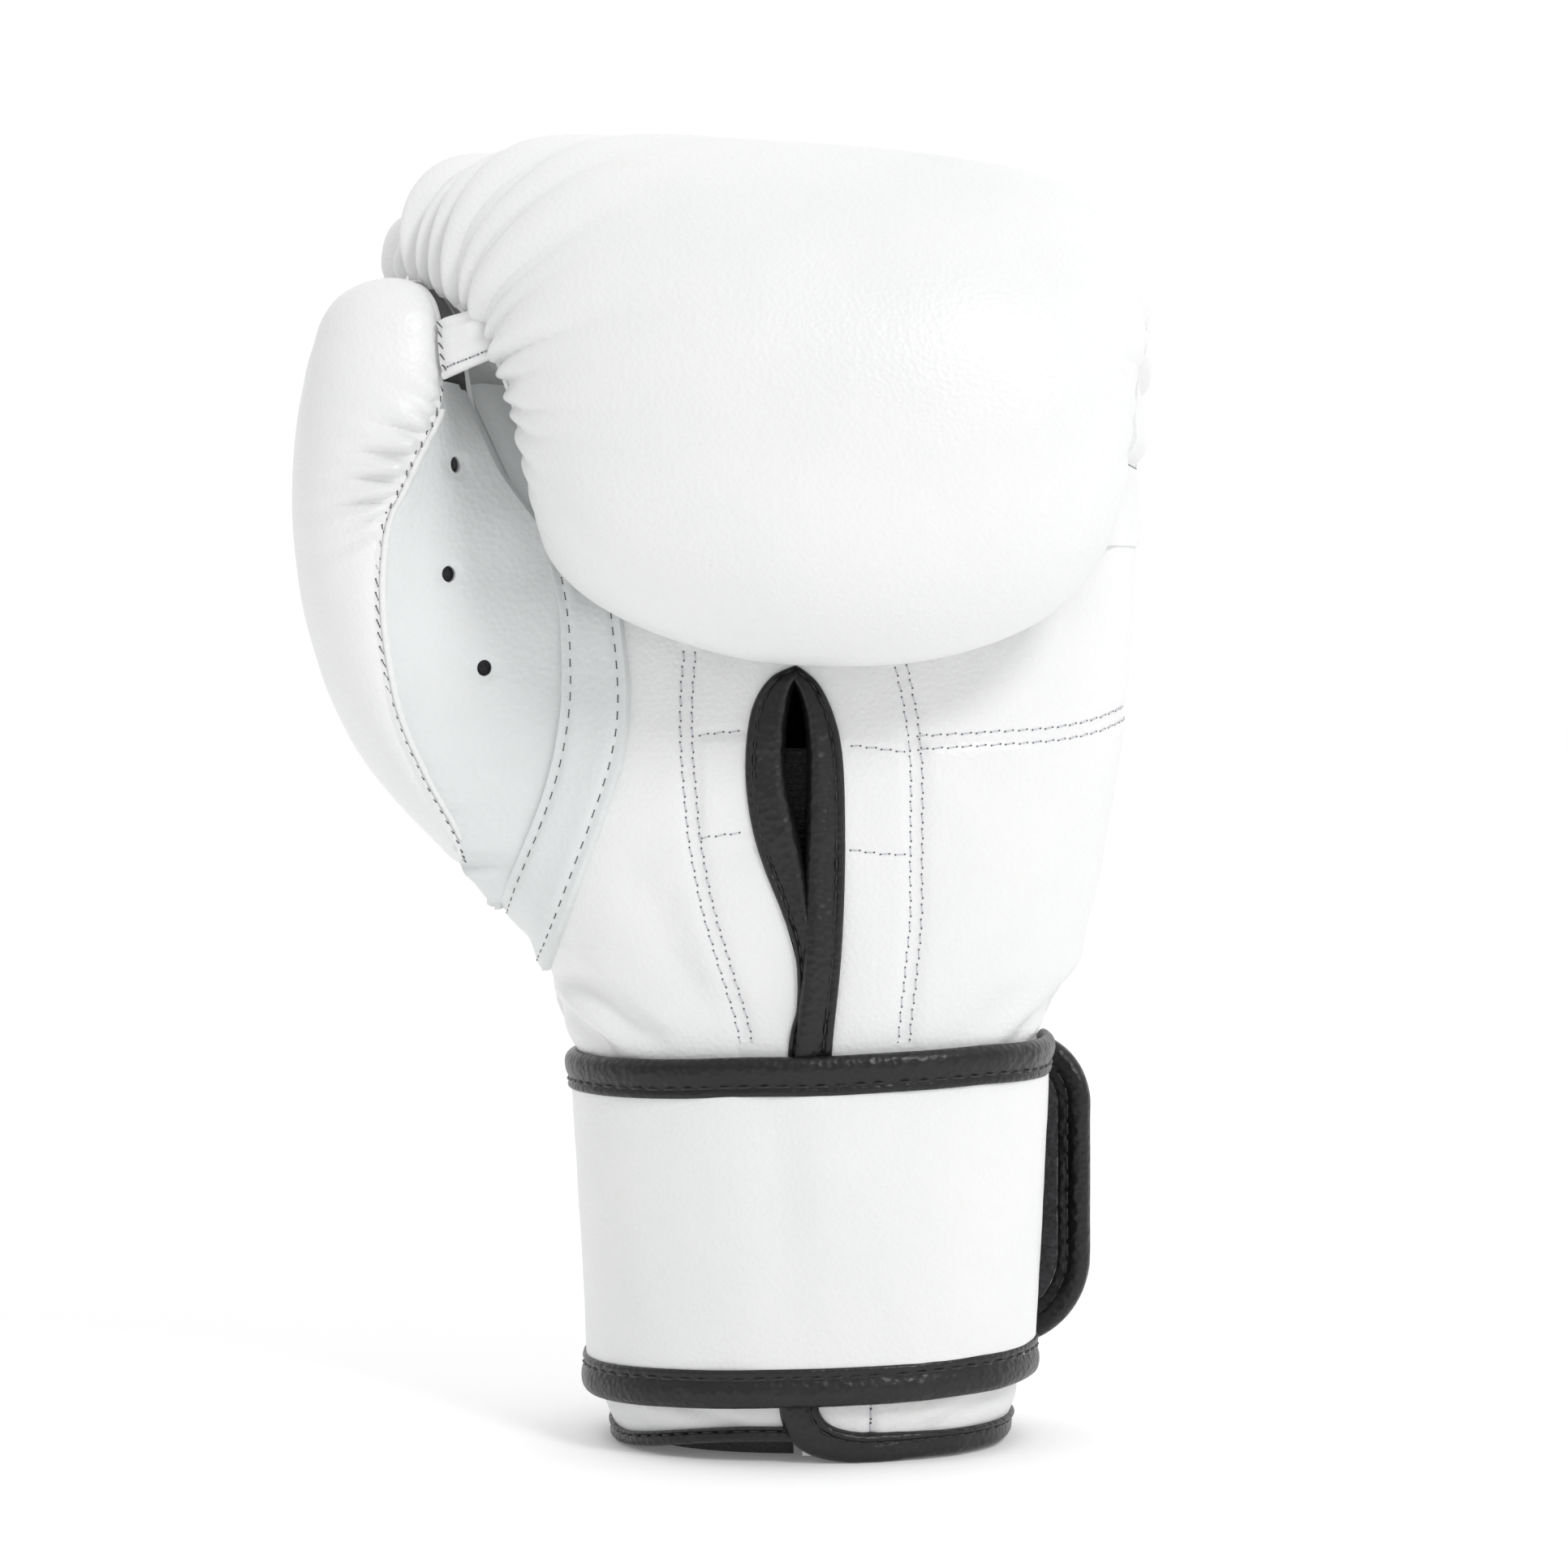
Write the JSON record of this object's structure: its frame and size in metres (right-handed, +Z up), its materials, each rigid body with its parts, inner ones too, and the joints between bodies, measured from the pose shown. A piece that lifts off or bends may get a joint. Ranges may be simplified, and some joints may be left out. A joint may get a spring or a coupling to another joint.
{
  "type": "boxing glove",
  "caption": "Left-hand padded boxing glove, standing on its cuff, with a tied-in thumb, a palm slit and a hook-and-loop wrist strap that unwraps",
  "frame": {"origin": "middle of the footprint's bounding box, on the floor the cuff rim stands on", "axes": "+Z up from the cuff to the knuckles, +X towards the little finger, -X towards the thumb, -Y the palm side, +Y the back of the hand"},
  "size_m": [0.1842, 0.1366, 0.2843],
  "materials": {
    "white_leather": "smooth synthetic leather, fine grain, satin",
    "black_tape": "smooth synthetic leather tape, satin",
    "padding": "matt foam",
    "lining": "matt woven",
    "hook_and_loop": "matt hooks and loops"
  },
  "bodies": {
    "glove": {"fist_shell": "white_leather", "palm_thumb_side": "white_leather", "slit_facing_left": "white_leather", "slit_facing_right": "white_leather", "palm_lower_outer": "white_leather", "palm_upper_outer": "white_leather", "thumb_gusset": "white_leather", "fist_side_outer": "white_leather", "fist_side_thumb": "white_leather", "cuff_shell": "white_leather", "thumb_lock_tab": "white_leather", "strap_root": "white_leather", "cuff_rim_binding": "black_tape", "slit_binding_left": "black_tape", "slit_binding_right": "black_tape", "strap_root_top_binding": "black_tape", "strap_root_low_binding": "black_tape", "fist_foam": "padding", "palm_padding_thumb_side": "padding", "palm_padding_outer_side": "padding", "cuff_foam": "padding", "hand_lining": "lining", "cuff_lining": "lining", "grip_bar": "lining", "slit_elastic": "lining", "loop_patch": "hook_and_loop"},
    "thumb": {"thumb_shell": "white_leather", "thumb_foam": "padding", "thumb_inner_panel": "white_leather"},
    "strap_palm_link": {"strap_palm": "white_leather", "strap_palm_top_binding": "black_tape", "strap_palm_low_binding": "black_tape"},
    "strap_thumb_side_link": {"strap_thumb_side": "white_leather", "strap_thumb_side_top_binding": "black_tape", "strap_thumb_side_low_binding": "black_tape"},
    "strap_back_link": {"strap_back": "white_leather", "strap_back_top_binding": "black_tape", "strap_back_low_binding": "black_tape"},
    "strap_flap_link": {"strap_flap": "white_leather", "strap_flap_binding": "black_tape", "hook_patch": "hook_and_loop"}
  },
  "joints": [
    {"name": "strap_unwrap", "type": "hinge", "parent": "glove", "child": "strap_palm_link", "pos_m": [0.07073, 0.00131, 0.05], "axis": [0, 0, 1], "range_deg": [0, 60]},
    {"name": "strap_curl_front", "type": "hinge", "parent": "strap_palm_link", "child": "strap_thumb_side_link", "pos_m": [-0.02429, -0.0187, 0.05], "axis": [0, 0, 1], "range_deg": [0, 72]},
    {"name": "strap_curl_rear", "type": "hinge", "parent": "strap_thumb_side_link", "child": "strap_back_link", "pos_m": [-0.02429, 0.04018, 0.05], "axis": [0, 0, 1], "range_deg": [0, 90]},
    {"name": "flap_peel", "type": "hinge", "parent": "strap_back_link", "child": "strap_flap_link", "pos_m": [0.05755, 0.04273, 0.05], "axis": [0, 0, 1], "range_deg": [0, 80]},
    {"name": "thumb_flex", "type": "hinge", "parent": "glove", "child": "thumb", "pos_m": [-0.04695, 0.00274, 0.12], "axis": [1, 0, 0], "range_deg": [-0.5, 3], "stiffness_Nm_per_rad": 1}
  ],
  "couplings": [
    {"joint": "strap_curl_front", "follows": "strap_unwrap", "ratio": 1.2},
    {"joint": "strap_curl_rear", "follows": "strap_unwrap", "ratio": 1.5}
  ]
}
